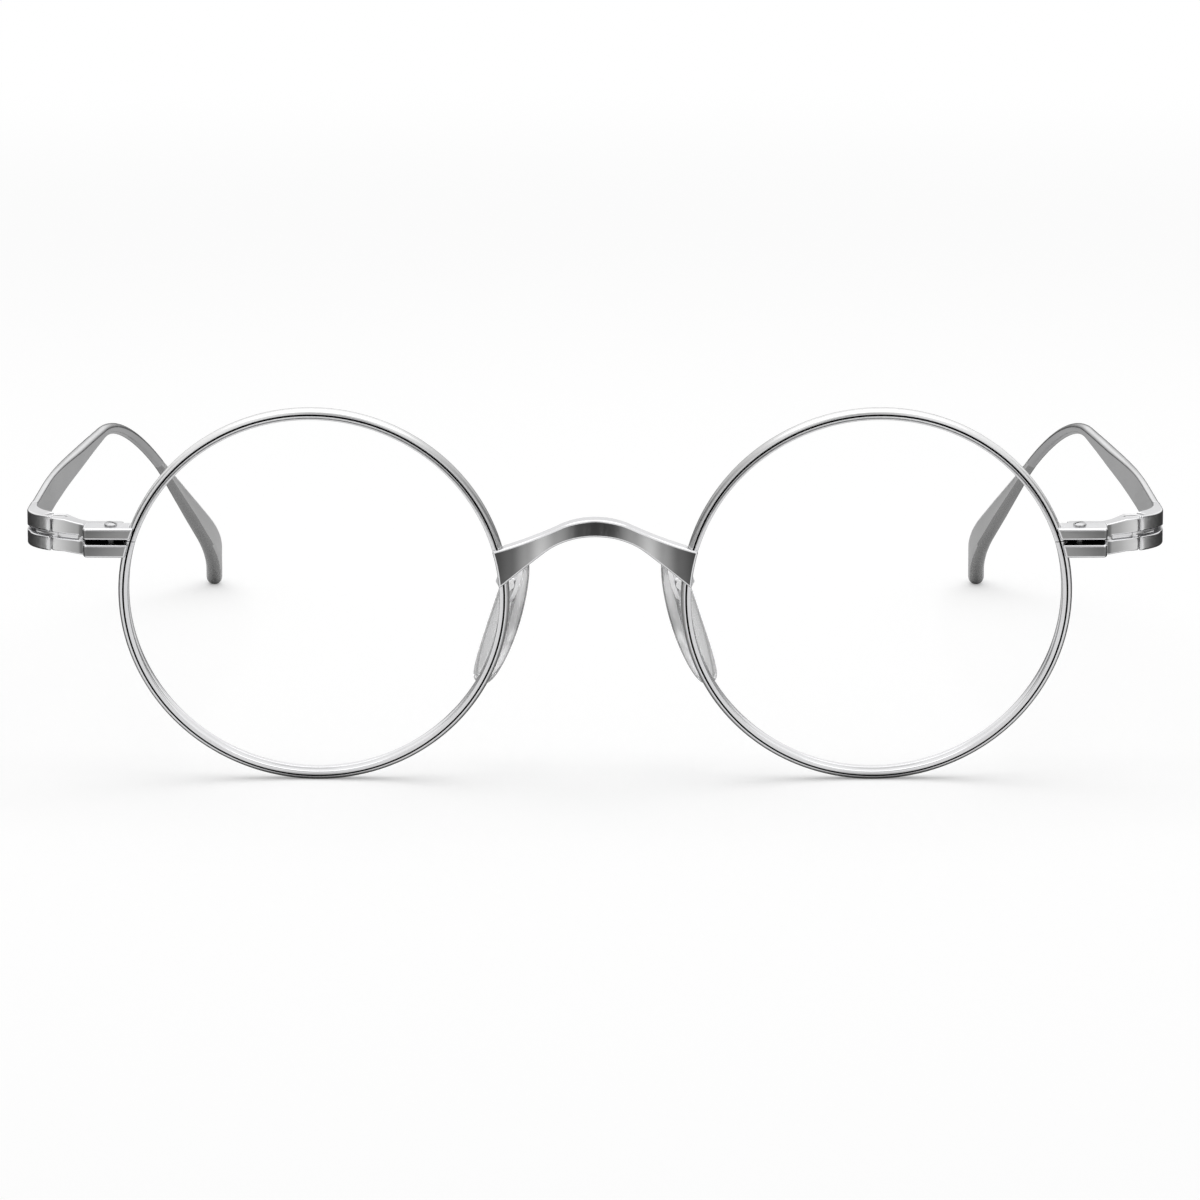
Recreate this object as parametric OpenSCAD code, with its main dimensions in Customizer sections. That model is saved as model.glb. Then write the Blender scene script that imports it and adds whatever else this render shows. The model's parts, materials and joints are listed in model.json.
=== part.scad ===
// Round eyeglass frame: two rims, flared bridge, two-tier end pieces, folding temples, nose pads.
// Left and right are as seen from the front. +Z is up, the front faces -Y.

/* [Rims] */
// opening of the rim at its inner lip, across
lens_d = 45.1; // [38:0.1:54]
// wall of the rim, inner lip to outer face
rim_wall = 1.2; // [1:0.05:1.6]
// flat front band of the rim, next to the lens
front_band = 0.48; // [0.3:0.02:0.6]
// depth of the rim, front to back
rim_depth = 2.2; // [1.8:0.1:3]
// depth of the V groove that holds the lens
groove_depth = 0.55; // [0.3:0.05:0.6]
// gap between the two rims at the nose
nose_gap = 20.8; // [16:0.1:26]
// lean of the rims, top forward, degrees
tilt = 9.2; // [0:0.1:14]
// turn of each rim round the face, degrees
wrap = 1.2; // [0:0.1:8]

/* [Closing blocks] */
// height of the slot between the tiers
slot = 0.6; // [0.4:0.05:1]
// slot above the middle of the rim
slot_v = 6.98; // [4:0.02:9]
// depth of the slot, from the front of the rim
slot_depth = 1.3; // [0.8:0.05:1.6]
// hairline gap where the rim opens, behind the slot
split = 0.1; // [0.06:0.02:0.2]
// height of the upper block
upper_h = 1.46; // [1.2:0.02:2]
// height of the lower block
lower_h = 1.66; // [1.2:0.02:2]
// reach of the blocks past the rim's outer face
block_reach = 5.1; // [4:0.05:6.5]
// step of the blocks in front of the rim
proud = 0.45; // [0.2:0.05:0.8]

/* [End pieces and hinges] */
// radius of the outer corner
corner_r = 8.3; // [6:0.1:10]
// reach of the end piece and corner past the rim
end_reach = 11.6; // [10:0.1:15]
// height of the end piece at the hinge
end_h = 3.95; // [3.4:0.05:5]
// hinge axis inside the outer side of the temple
hinge_in = 4.3; // [4:0.1:5]
// hinge axis behind the front plane of the rims
hinge_y = 4.15; // [3.8:0.05:5]
// radius of the hinge knuckles
knuckle_r = 1.45; // [1.3:0.05:1.6]
// radius of the hinge screw
hinge_screw_r = 0.6; // [0.4:0.05:0.7]
// gap between parts that turn past each other
run_gap = 0.1; // [0.05:0.01:0.2]

/* [Temples] */
// height of the blade behind the corner
blade_h = 4.25; // [3:0.05:5]
// thickness of the blade
blade_t = 0.9; // [0.7:0.05:1.4]
// thickness of the round rod
rod_d = 1.45; // [1.2:0.05:2]
// length along the temple to the start of the ear bend
bend_start = 72.6; // [60:0.2:90]
// angle of the drop behind the ear, degrees
drop = 35; // [20:0.1:50]
// height of the flattened tip
tip_h = 5.2; // [3:0.1:7]
// thickness of the flattened tip
tip_t = 2.3; // [1.6:0.1:3]

/* [Bridge and pads] */
// top of the bridge above the middle of the rims
bridge_top = 10.45; // [8:0.1:13]
// thickness of the bridge, front to back
bridge_depth = 1.7; // [1:0.1:2.4]
// length of each nose pad
pad_len = 17.5; // [12:0.5:19]
// width of each nose pad
pad_w = 8; // [6:0.2:9]
// thickness of each nose pad
pad_t = 2.0; // [1.8:0.1:3]
// lean of the pads, foot outward, degrees
pad_lean = 17; // [8:1:25]
// splay of the pads, back edge outward, degrees
pad_splay = 13; // [8:1:30]

/* [Hidden] */
lip_r = lens_d / 2;
rim_r = lip_r + rim_wall;
eye_x = rim_r + nose_gap / 2;
edge = 0.15;
// engraved line between the front band and the rounded shoulder
line_w = 0.17;
line_d = 0.22;
front_r = lip_r + front_band;
shoulder = 0.72;
shoulder_end = 1.15;
back_in = 0.35;
// the lowest point of the leaning rim rests on z = 0
rim_z = rim_r * sqrt(pow(cos(tilt), 2) + pow(sin(wrap) * sin(tilt), 2)) - shoulder * cos(wrap) * sin(tilt);
block_u = sqrt(pow(rim_r, 2) - pow(slot_v, 2)) + block_reach;
block_x = eye_x + block_u;
close_u = block_u - 3.3;
close_w = 1.15;
close_r = 0.5;
upper_v = slot_v + slot / 2;
lower_v = slot_v - slot / 2 - lower_h;

half_width = eye_x + rim_r + end_reach;
hinge_x = half_width - hinge_in;
front_y = 0.65;
corner_x = half_width - corner_r;
corner_y = front_y + corner_r;
seam_a = 36.2;
arm_back = hinge_y - 0.4;
arm_x = eye_x + rim_r - 0.6;
groove_z = rim_z + slot_v * cos(tilt) + 0.55;
groove_in = 0.75;
temple_low = groove_z - blade_h / 2 + 0.05;
temple_top = temple_low + blade_h;
seam_low = groove_z - end_h / 2;
seam_top = groove_z + end_h / 2;
inner_low = seam_low - 0.4;
inner_top = seam_top - 0.6;
pocket_h = 1.5;
pocket_low = groove_z - 0.78;
pocket_top = pocket_low + pocket_h;
washer_t = 0.17;
washer_r = 1.3;
tongue_low = pocket_low + washer_t + 0.03;
tongue_top = pocket_top - washer_t - 0.03;
screw_top = seam_top - 0.02;
head_r = 0.95;
head_t = 0.5;
pocket_r = knuckle_r + run_gap;
seam_r = 1.92;
seam_dir = atan2(corner_y - corner_r * cos(seam_a) - hinge_y, corner_x + corner_r * sin(seam_a) - hinge_x);
// cutting shapes reach from below the end piece to above it
cut_low = groove_z - end_h;
cut_h = 2 * end_h;

blade_x = half_width - blade_t / 2;
blade_z = (temple_low + temple_top) / 2;
blade_y = corner_y;
join_y = corner_y + 4.45;
yaw_blade = 3.2;
yaw_ear = 17.3;
yaw_tip = -4.1;
toe_s = 15;
toe_len = 30;
rise_len = 47;
rod_rise = 0.35;
taper_s = 26;
taper_len = 52;
round_len = 25;
yaw_len = 42.1;
yaw_hold = 14;
drop_len = 40.2;
back_len = 10.6;
paddle_len = 30;
thick_len = 16;
step_s = 3;

bow_r = 9.2;
bow_a = 28.5;
sweep_r = 35.8;
under_r = 9.5;
under_a = 40;
bridge_band = 2.17;
bridge_half = nose_gap / 2 + 2.2;
swell_d = 0.8;
swell_x = 9;

pad_x = nose_gap / 2 + 0.3;
pad_y = 6.2;
pad_z = rim_z + 0.96;
pad_back = 8;
pad_face = -0.62;
pad_mid = pad_face - pad_t / 2;
pad_shift = 2.2;
pad_up = 3.1;
pad_bow = 0.48;
pin_r = 0.3;
arm_r = 0.5;
arm_bend = 1.6;
arm_up = 2.35;
arm_wire_x = eye_x - sqrt(pow(lip_r + arm_r, 2) - pow(pad_z + arm_up - rim_z, 2));
box_w = 2.3;
box_h = 1.5;

// helpers for the path of the temple, measured along its length
function ramp(x) = max(0, min(1, x));
function yaw_at(s) =
    yaw_blade * ramp((s - toe_s) / toe_len)
    + (yaw_ear - yaw_blade) * ramp((s - bend_start) / yaw_len)
    - (yaw_ear - yaw_tip) * ramp((s - bend_start - yaw_len - yaw_hold) / back_len);
function pitch_at(s) = drop * ramp((s - bend_start) / drop_len);
function rise_at(s) = rod_rise * ramp((s - toe_s) / rise_len);
function heading(s) = [
    -sin(yaw_at(s)) * cos(pitch_at(s)),
    cos(yaw_at(s)) * cos(pitch_at(s)),
    -sin(pitch_at(s))
];
function walk(p, s, d) = p + d * heading(s + d / 2);

// the drop ends where the round tip touches the floor
bend_end = bend_start + drop_len;
fine = 0.5;
bend_pts = [
    for (s = 0, p = [blade_x, blade_y, blade_z];
        s <= bend_end;
        p = walk(p, s, fine), s = s + fine)
        [s, p[2]]
];
bend_last = bend_pts[len(bend_pts) - 1];
tip_s = bend_last[0] + (bend_last[1] + rod_rise - tip_h / 2) / sin(drop);
paddle_s = tip_s - paddle_len - 4.3;
join_s = join_y - blade_y;
tip_n = round((tip_s - join_s) / step_s);
tip_step = (tip_s - join_s) / tip_n;
path = [
    for (i = 0, p = [blade_x, join_y, blade_z];
        i <= tip_n;
        p = walk(p, join_s + i * tip_step, tip_step), i = i + 1)
        [join_s + i * tip_step, p + [0, 0, rise_at(join_s + i * tip_step)]]
];
tip_end = path[tip_n][1];
tip_back = tip_end[1] + tip_h / 2;
rim_front = -front_r * sqrt(pow(sin(wrap) * cos(tilt), 2) + pow(sin(tilt), 2));
shift_y = -(rim_front + tip_back) / 2;

function blade_height(s) =
    rod_d
    + (blade_h - rod_d) * pow(1 - ramp((s - taper_s) / taper_len), 1.15)
    + (tip_h - rod_d) * ramp((s - paddle_s - step_s) / paddle_len);
function blade_thick(s) =
    blade_t
    + (rod_d - blade_t) * ramp((s - taper_s) / round_len)
    + (tip_t - rod_d) * ramp((s - paddle_s) / thick_len);

// one rounded section, four points to a corner, across the path at s
function round_at(s, t, h) = min(t, h) / 2 * (0.4 + 0.6 * ramp((s - taper_s) / rise_len));
function section(s, p, t, h) =
    let (
        r = round_at(s, t, h),
        a = yaw_at(s),
        b = pitch_at(s),
        across = [cos(a), sin(a), 0],
        up = [-sin(a) * sin(b), cos(a) * sin(b), cos(b)]
    )
    [
        for (q = [0:3], k = [0:4])
            let (
                m = q * 90 + 9 + k * 18,
                cx = (q == 0 || q == 3 ? 1 : -1) * (t / 2 - r),
                cy = (q < 2 ? 1 : -1) * (h / 2 - r)
            )
            p + (cx + r * cos(m)) * across + (cy + r * sin(m)) * up
    ];
tip_rings = [15, 30, 45, 60, 73, 84];

module loft(rings) {
    n = len(rings[0]);
    m = len(rings);
    points = [for (ring = rings) each ring];
    sides = [
        for (i = [0:m - 2], k = [0:n - 1])
            [i * n + k, i * n + (k + 1) % n, (i + 1) * n + (k + 1) % n, (i + 1) * n + k]
    ];
    walls = [for (f = sides) each [[f[0], f[2], f[1]], [f[0], f[3], f[2]]]];
    first = [for (k = [0:n - 1]) k];
    last = [for (k = [n - 1:-1:0]) (m - 1) * n + k];
    polyhedron(points, concat(walls, [first], [last]), convexity = 8);
}

// places: every shape is drawn for the right side and mirrored for the left
module row() {
    translate([0, shift_y, 0]) children();
}

module left() {
    mirror([1, 0, 0]) children();
}

module at_rim() {
    translate([eye_x, 0, rim_z]) rotate([tilt, 0, 0]) rotate([0, 0, wrap]) children();
}

module at_hinge(z) {
    translate([hinge_x, hinge_y, z]) children();
}

module at_pad() {
    translate([pad_x, pad_y, pad_z])
        rotate([pad_back, 0, 0])
            rotate([0, -pad_lean, 0])
                rotate([0, 0, -pad_splay])
                    children();
}

// a disc across the depth of the rim, from w0 to w1
module rim_disc(r, w0, w1) {
    translate([0, w1, 0]) rotate([90, 0, 0]) cylinder(h = w1 - w0, r = r, $fn = 180);
}

// outer side of the rim's section: shoulder behind the engraved line, then in again at the back
function rim_outside() =
    let (r0 = front_r + line_w)
    [
        for (a = [0:15:90]) [r0 + (rim_r - r0) * sin(a), shoulder - (shoulder - 0.08) * cos(a)],
        [rim_r, shoulder_end],
        [rim_r - back_in / 4, (shoulder_end + rim_depth) / 2],
        [rim_r - back_in, rim_depth]
    ];

module rim() {
    mid = rim_depth / 2;
    g = 0.35;
    at_rim() difference() {
        rotate([-90, 0, 0]) rotate_extrude($fn = 180) polygon([
            [lip_r, edge],
            [lip_r + edge, 0],
            [front_r, 0],
            [front_r, line_d],
            [front_r + line_w, line_d],
            each rim_outside(),
            [lip_r + edge, rim_depth],
            [lip_r, rim_depth - edge],
            [lip_r, mid + g],
            [lip_r + groove_depth, mid],
            [lip_r, mid - g]
        ]);
        translate([lip_r - 3, -1, slot_v - split / 2]) cube([6, rim_depth + 2, split]);
    }
}

// the space that the rim fills, to cut what lies on it
module rim_space(behind) {
    rotate([-90, 0, 0]) rotate_extrude($fn = 180) polygon([
        [0, 0],
        [front_r, 0],
        each rim_outside(),
        [rim_r - back_in, rim_depth + behind],
        [0, rim_depth + behind]
    ]);
}

// outline of the closing blocks seen from above, outer front corner rounded
module block_plan() {
    r = 0.5;
    polygon([
        [lip_r - 4, -proud],
        for (a = [0:15:90]) [block_u - r + r * sin(a), -proud + r - r * cos(a)],
        [block_u, rim_depth],
        [lip_r - 4, rim_depth]
    ]);
}

module closing_block(v, h, bore_r) {
    behind = (slot - split) / 2;
    at_rim() difference() {
        union() {
            translate([0, 0, v]) linear_extrude(h) block_plan();
            // behind the slot the two blocks all but meet
            translate([0, 0, v > slot_v ? v - behind : v]) linear_extrude(h + behind) intersection() {
                block_plan();
                translate([0, slot_depth]) square([block_u + 1, rim_depth]);
            }
        }
        rim_space(1);
        rim_disc(rim_r - 0.45, -proud - 1, 0.1);
        translate([close_u, close_w, v - 1]) cylinder(h = h + 2, r = bore_r, $fn = 48);
    }
}

module closing_screw() {
    head = 0.8;
    crown = 0.38;
    top = upper_v + upper_h;
    at_rim() translate([close_u, close_w, 0]) {
        translate([0, 0, lower_v + 0.25]) cylinder(h = top - lower_v - 0.25, r = close_r, $fn = 48);
        difference() {
            translate([0, 0, top]) rotate_extrude($fn = 48) polygon([
                [0, 0],
                [head, 0],
                [head, 0.12],
                for (a = [15:15:75]) [head * cos(a), 0.12 + (crown - 0.12) * sin(a)],
                [0, crown]
            ]);
            rotate([0, 0, 25]) translate([-1, -0.1, top + 0.2]) cube([2, 0.2, 1]);
        }
    }
}

function outer_arc(a) = [corner_x + corner_r * sin(a), corner_y - corner_r * cos(a)];
function about_hinge(a, r) = [hinge_x + r * cos(a), hinge_y + r * sin(a)];

// the end piece from above: outer arc, bevelled seam, hinge, arm behind the blocks
module end_plan() {
    polygon([
        [arm_x, front_y],
        for (a = [0:4:32]) outer_arc(a),
        outer_arc(seam_a - 1.6),
        about_hinge(seam_dir - 2, seam_r),
        [hinge_x, hinge_y],
        about_hinge(133, knuckle_r),
        [hinge_x - 2.6, arm_back],
        [arm_x + 0.4, arm_back],
        [arm_x, arm_back - 0.4]
    ]);
}

module end_piece() {
    difference() {
        intersection() {
            union() {
                translate([0, 0, cut_low]) linear_extrude(cut_h) end_plan();
                at_hinge(cut_low) cylinder(h = cut_h, r = knuckle_r, $fn = 64);
            }
            translate([0, corner_y + 3, 0]) rotate([90, 0, 0]) linear_extrude(2 * corner_r) polygon([
                [arm_x - 1, inner_low],
                [block_x - 0.33, inner_low],
                [hinge_x - 0.8, seam_low],
                [half_width, seam_low],
                [half_width, seam_top],
                [hinge_x - 0.8, seam_top],
                [block_x - 0.33, inner_top],
                [arm_x - 1, inner_top]
            ]);
        }
        // room for the closing blocks, and the slot carried on between the tiers
        at_rim() {
            translate([0, 0, slot_v - 5]) linear_extrude(10) block_plan();
            rim_disc(rim_r, 0, rim_depth);
            translate([lip_r - 1, -1, slot_v - slot / 2])
                cube([block_u + 0.7 - lip_r + 1, slot_depth + 1, slot]);
            translate([lip_r - 1, -1, slot_v - split / 2]) cube([block_u + 0.5 - lip_r + 1, 8, split]);
        }
        // shallow groove from the slot to the seam
        difference() {
            translate([0, corner_y - 1, 0]) rotate([90, 0, 0]) linear_extrude(corner_r) polygon([
                [block_x + 0.67, groove_z - 0.2 - slot / 2],
                [hinge_x + 3, groove_z + 0.1 - slot / 2],
                [hinge_x + 3, groove_z + 0.1 + slot / 2],
                [block_x + 0.67, groove_z - 0.2 + slot / 2]
            ]);
            translate([corner_x, corner_y, cut_low]) cylinder(h = cut_h, r = corner_r - groove_in, $fn = 96);
        }
        // pocket for the tongue of the temple
        at_hinge(pocket_low) cylinder(h = pocket_h, r = pocket_r, $fn = 64);
        at_hinge(pocket_low) linear_extrude(pocket_h)
            polygon([[0, 0], [3.5, -4], [8, 0], [4, 8], [-2.6, 5]]);
        at_hinge(cut_low) cylinder(h = cut_h, r = hinge_screw_r + 0.05, $fn = 48);
        at_hinge(screw_top - head_t) cylinder(h = 2, r = head_r + 0.05, $fn = 48);
    }
}

module washer(z) {
    at_hinge(z) difference() {
        cylinder(h = washer_t, r = washer_r, $fn = 64);
        translate([0, 0, -1]) cylinder(h = 2, r = hinge_screw_r + 0.05, $fn = 48);
    }
}

module hinge_screw() {
    difference() {
        union() {
            at_hinge(seam_low + 0.15) cylinder(h = screw_top - seam_low - 0.15, r = hinge_screw_r, $fn = 48);
            at_hinge(screw_top - head_t) cylinder(h = head_t, r = head_r, $fn = 48);
        }
        at_hinge(screw_top - 0.2) rotate([0, 0, 20]) translate([-1.5, -0.12, 0]) cube([3, 0.24, 1]);
    }
}

// the forked corner of the temple from above
module corner_plan() {
    polygon([
        [hinge_x, hinge_y],
        about_hinge(seam_dir + 4, seam_r),
        outer_arc(seam_a + 2.4),
        for (a = [42:6:90]) outer_arc(a),
        [half_width, join_y],
        [half_width - blade_t, join_y],
        [half_width - blade_t - 0.25, corner_y + 1.45],
        [half_width - blade_t - 0.7, corner_y - 0.15],
        [half_width - blade_t - 1.35, corner_y - 1.55],
        [half_width - blade_t - 2.2, corner_y - 2.65],
        about_hinge(62, knuckle_r)
    ]);
}

// forked corner: tongue of the hinge, groove, and a slot right through that ends in a point
module temple_corner() {
    difference() {
        union() {
            difference() {
                translate([0, 0, temple_low]) linear_extrude(blade_h) corner_plan();
                at_hinge(tongue_top) cylinder(h = 4, r = pocket_r, $fn = 64);
                at_hinge(tongue_low - 4) cylinder(h = 4, r = pocket_r, $fn = 64);
            }
            at_hinge(tongue_low) cylinder(h = tongue_top - tongue_low, r = knuckle_r, $fn = 64);
        }
        difference() {
            translate([hinge_x - 3, front_y - 2, groove_z - slot / 2]) cube([8, corner_r - 0.8, slot]);
            translate([corner_x, corner_y, cut_low]) cylinder(h = cut_h, r = corner_r - groove_in, $fn = 96);
        }
        translate([half_width - 4, 0, 0]) rotate([90, 0, 90]) linear_extrude(6) polygon([
            [corner_y - 2.85, groove_z - slot / 2],
            [corner_y + 0.45, groove_z - slot / 2],
            [join_y - 0.4, groove_z],
            [corner_y + 0.45, groove_z + slot / 2],
            [corner_y - 2.85, groove_z + slot / 2]
        ]);
        at_hinge(cut_low) cylinder(h = cut_h, r = hinge_screw_r + 0.05, $fn = 48);
    }
}

// blade, round rod, ear bend and flattened tip in one run
module temple() {
    body = [for (st = path) section(st[0], st[1], blade_thick(st[0]), blade_height(st[0]))];
    round_end = [
        for (k = tip_rings)
            let (s = tip_s, f = cos(k))
            section(s, tip_end + tip_h / 2 * sin(k) * heading(s), tip_t * (0.35 + 0.65 * f), tip_h * f)
    ];
    loft(concat(body, round_end));
}

// the bridge from the front: arched top, flares that lie on the rims
module bridge_front() {
    bow_z = bridge_top - bow_r;
    under_z = bridge_top - bridge_band - under_r;
    sweep_x = (bow_r + sweep_r) * sin(bow_a);
    sweep_z = bow_z + (bow_r + sweep_r) * cos(bow_a);
    foot_z = under_z + under_r * cos(under_a) - (bridge_half - under_r * sin(under_a)) * tan(under_a);
    polygon([
        for (a = [0:2.85:bow_a]) [bow_r * sin(a), bow_z + bow_r * cos(a)],
        for (a = [bow_a - 2:-2:14]) [sweep_x - sweep_r * sin(a), sweep_z - sweep_r * cos(a)],
        [bridge_half, foot_z],
        for (a = [under_a:-4:0]) [under_r * sin(a), under_z + under_r * cos(a)],
        for (a = [4:4:under_a]) [-under_r * sin(a), under_z + under_r * cos(a)],
        [-bridge_half, foot_z],
        for (a = [14.5:2:bow_a - 2]) [-sweep_x + sweep_r * sin(a), sweep_z - sweep_r * cos(a)],
        for (a = [bow_a:-2.85:2.85]) [-bow_r * sin(a), bow_z + bow_r * cos(a)]
    ]);
}

// the bridge from above: it swells forward in the middle
function swell(x) = -swell_d / 2 * (1 + cos(180 * ramp(abs(x) / swell_x)));
module bridge_plan() {
    base = -(rim_r * sin(wrap)) - 0.5;
    far = bridge_half + 1.4;
    polygon([
        for (i = [-28:28]) [i * far / 28, base + swell(i * far / 28)],
        for (i = [28:-1:-28]) [i * far / 28, base + swell(i * far / 28) + bridge_depth]
    ]);
}

module bridge_body() {
    difference() {
        translate([0, 0, rim_z]) rotate([tilt, 0, 0]) intersection() {
            translate([0, bridge_half / 2, 0]) rotate([90, 0, 0]) linear_extrude(bridge_half) bridge_front();
            translate([0, 0, -bridge_top / 2]) linear_extrude(2 * bridge_top) bridge_plan();
        }
        for (side = [0, 1]) mirror([side, 0, 0]) at_rim() {
            rim_space(5);
            rim_disc(lip_r, -5, 5);
        }
    }
}

module pad_arm() {
    rise = pad_z + arm_up;
    difference() {
        union() {
            translate([arm_wire_x, -1, rise])
                rotate([-90, 0, 0])
                    cylinder(h = pad_y - arm_bend + 1, r = arm_r, $fn = 32);
            translate([arm_wire_x, pad_y - arm_bend, rise - arm_bend])
                rotate([90, 0, 90])
                    rotate_extrude(angle = 90, $fn = 64)
                        translate([arm_bend, 0])
                            circle(r = arm_r, $fn = 32);
            translate([arm_wire_x, pad_y, pad_z])
                cylinder(h = rise - arm_bend - pad_z, r = arm_r, $fn = 32);
        }
        at_rim() rim_disc(rim_r + 1, -3, rim_depth);
        at_pad() pad_box_block();
    }
}

module pad_box_block() {
    translate([-0.42, -box_w / 2, -box_h / 2]) cube([1.5, box_w, box_h]);
}

module pad_box() {
    at_pad() difference() {
        pad_box_block();
        translate([-1, -0.6, -box_h]) cube([1.5, 1.2, 2 * box_h]);
        translate([0, 2, 0]) rotate([90, 0, 0]) cylinder(h = 4, r = pin_r + 0.02, $fn = 32);
    }
}

module pad_screw() {
    at_pad() {
        translate([0, box_w / 2, 0]) rotate([90, 0, 0]) cylinder(h = box_w, r = pin_r, $fn = 32);
        translate([0, -box_w / 2, 0]) rotate([90, 0, 0]) cylinder(h = 0.3, r = 0.55, $fn = 32);
    }
}

module pad_core_plate() {
    rotate([0, 90, 0]) scale([1, 0.55, 1]) cylinder(h = 0.5, r = 2.6, $fn = 48);
}

// the tab that stands out of the pad and carries the screw
module pad_tab() {
    translate([pad_face - 0.2, -0.55, -0.42]) cube([-pad_face + 0.2, 1.1, 0.84]);
}

module pad_core() {
    at_pad() difference() {
        union() {
            translate([pad_face - 0.5, 0, 0]) pad_core_plate();
            pad_tab();
            translate([0, 0.55, 0]) rotate([90, 0, 0]) cylinder(h = 1.1, r = 0.46, $fn = 32);
        }
        translate([0, 2, 0]) rotate([90, 0, 0]) cylinder(h = 4, r = pin_r + 0.05, $fn = 32);
    }
}

// the pad's bow along its length, toward the nose in the middle, none at the box
function bow_x(t) = pad_bow * t * t - 0.15 * t - 0.1;

// outline of the pad at depth x, shrunk by e
function pad_ring(x, e) = [
    for (a = [0:9:351])
        [
            x + bow_x(sin(a)),
            pad_shift + (pad_w / 2 - e) * cos(a),
            pad_up - pad_len / 2 + (pad_len / 2 - e) * sin(a)
        ]
];

module nose_pad() {
    half = pad_t / 2;
    at_pad() difference() {
        loft([
            for (m = [-84, -60, -36, -12, 12, 36, 60, 84])
                pad_ring(pad_mid + half * sin(m) / sin(84), 1.1 * (1 - cos(m)))
        ]);
        translate([pad_face - 0.5, 0, 0]) pad_core_plate();
        pad_tab();
    }
}

metal = [0.78, 0.78, 0.8];
clear = [0.9, 0.92, 0.94, 0.5];

module rim_left() {
    color(metal) row() left() rim();
}

module rim_right() {
    color(metal) row() rim();
}

module bridge() {
    color(metal) row() bridge_body();
}

module upper_closing_block_left() {
    color(metal) row() left() closing_block(upper_v, upper_h, close_r + 0.05);
}

module upper_closing_block_right() {
    color(metal) row() closing_block(upper_v, upper_h, close_r + 0.05);
}

module lower_closing_block_left() {
    color(metal) row() left() closing_block(lower_v, lower_h, close_r + 0.02);
}

module lower_closing_block_right() {
    color(metal) row() closing_block(lower_v, lower_h, close_r + 0.02);
}

module closing_screw_left() {
    color(metal) row() left() closing_screw();
}

module closing_screw_right() {
    color(metal) row() closing_screw();
}

module end_piece_left() {
    color(metal) row() left() end_piece();
}

module end_piece_right() {
    color(metal) row() end_piece();
}

module hinge_screw_left() {
    color(metal) row() left() hinge_screw();
}

module hinge_screw_right() {
    color(metal) row() hinge_screw();
}

module upper_washer_left() {
    color(metal) row() left() washer(pocket_top - washer_t);
}

module upper_washer_right() {
    color(metal) row() washer(pocket_top - washer_t);
}

module lower_washer_left() {
    color(metal) row() left() washer(pocket_low);
}

module lower_washer_right() {
    color(metal) row() washer(pocket_low);
}

module temple_corner_left() {
    color(metal) row() left() temple_corner();
}

module temple_corner_right() {
    color(metal) row() temple_corner();
}

module temple_left() {
    color(metal) row() left() temple();
}

module temple_right() {
    color(metal) row() temple();
}

module pad_arm_left() {
    color(metal) row() left() pad_arm();
}

module pad_arm_right() {
    color(metal) row() pad_arm();
}

module pad_box_left() {
    color(metal) row() left() pad_box();
}

module pad_box_right() {
    color(metal) row() pad_box();
}

module pad_screw_left() {
    color(metal) row() left() pad_screw();
}

module pad_screw_right() {
    color(metal) row() pad_screw();
}

module pad_core_left() {
    color(metal) row() left() pad_core();
}

module pad_core_right() {
    color(metal) row() pad_core();
}

module nose_pad_left() {
    color(clear) row() left() nose_pad();
}

module nose_pad_right() {
    color(clear) row() nose_pad();
}

rim_left();
rim_right();
bridge();
upper_closing_block_left();
upper_closing_block_right();
lower_closing_block_left();
lower_closing_block_right();
closing_screw_left();
closing_screw_right();
end_piece_left();
end_piece_right();
hinge_screw_left();
hinge_screw_right();
upper_washer_left();
upper_washer_right();
lower_washer_left();
lower_washer_right();
temple_corner_left();
temple_corner_right();
temple_left();
temple_right();
pad_arm_left();
pad_arm_right();
pad_box_left();
pad_box_right();
pad_screw_left();
pad_screw_right();
pad_core_left();
pad_core_right();
nose_pad_left();
nose_pad_right();
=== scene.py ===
"""Looks of the round eyeglass frame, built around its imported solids.

Sizes of the part are in millimetres. Those of materials, floor and light are in metres.
"""

import json
import math

import bmesh
import bpy
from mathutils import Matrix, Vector

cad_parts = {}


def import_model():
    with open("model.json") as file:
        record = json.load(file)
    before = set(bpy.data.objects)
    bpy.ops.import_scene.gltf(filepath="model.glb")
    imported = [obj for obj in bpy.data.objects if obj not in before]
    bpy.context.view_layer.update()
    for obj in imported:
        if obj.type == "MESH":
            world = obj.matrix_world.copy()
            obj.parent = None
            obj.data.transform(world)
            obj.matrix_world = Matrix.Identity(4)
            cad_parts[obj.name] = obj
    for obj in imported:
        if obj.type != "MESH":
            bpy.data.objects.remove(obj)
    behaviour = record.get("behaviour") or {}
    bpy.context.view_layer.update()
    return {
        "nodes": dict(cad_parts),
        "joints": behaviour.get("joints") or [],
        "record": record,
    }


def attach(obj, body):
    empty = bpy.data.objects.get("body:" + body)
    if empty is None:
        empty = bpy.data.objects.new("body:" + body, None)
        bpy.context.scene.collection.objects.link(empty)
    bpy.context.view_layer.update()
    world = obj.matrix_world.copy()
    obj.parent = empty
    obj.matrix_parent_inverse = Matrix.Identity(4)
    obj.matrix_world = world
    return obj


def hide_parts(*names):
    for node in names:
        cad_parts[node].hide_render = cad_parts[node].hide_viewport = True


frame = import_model()
NODES = frame["nodes"]
SIDES = (("left", -1), ("right", 1))
PER_METRE = 1000.0
# the hinge axis lies this far behind the front of the rims, and the frame gives its place
HINGE_Y = 4.15
SHIFT_Y = frame["joints"][0]["pos_m"][1] * PER_METRE - HINGE_Y


def body_of_node(node):
    for body, members in frame["record"]["behaviour"]["bodies"].items():
        if node in members:
            return body
    return "front"


def in_scene(name, data):
    obj = bpy.data.objects.new(name, data)
    bpy.context.scene.collection.objects.link(obj)
    return obj


# shader nodes


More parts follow.
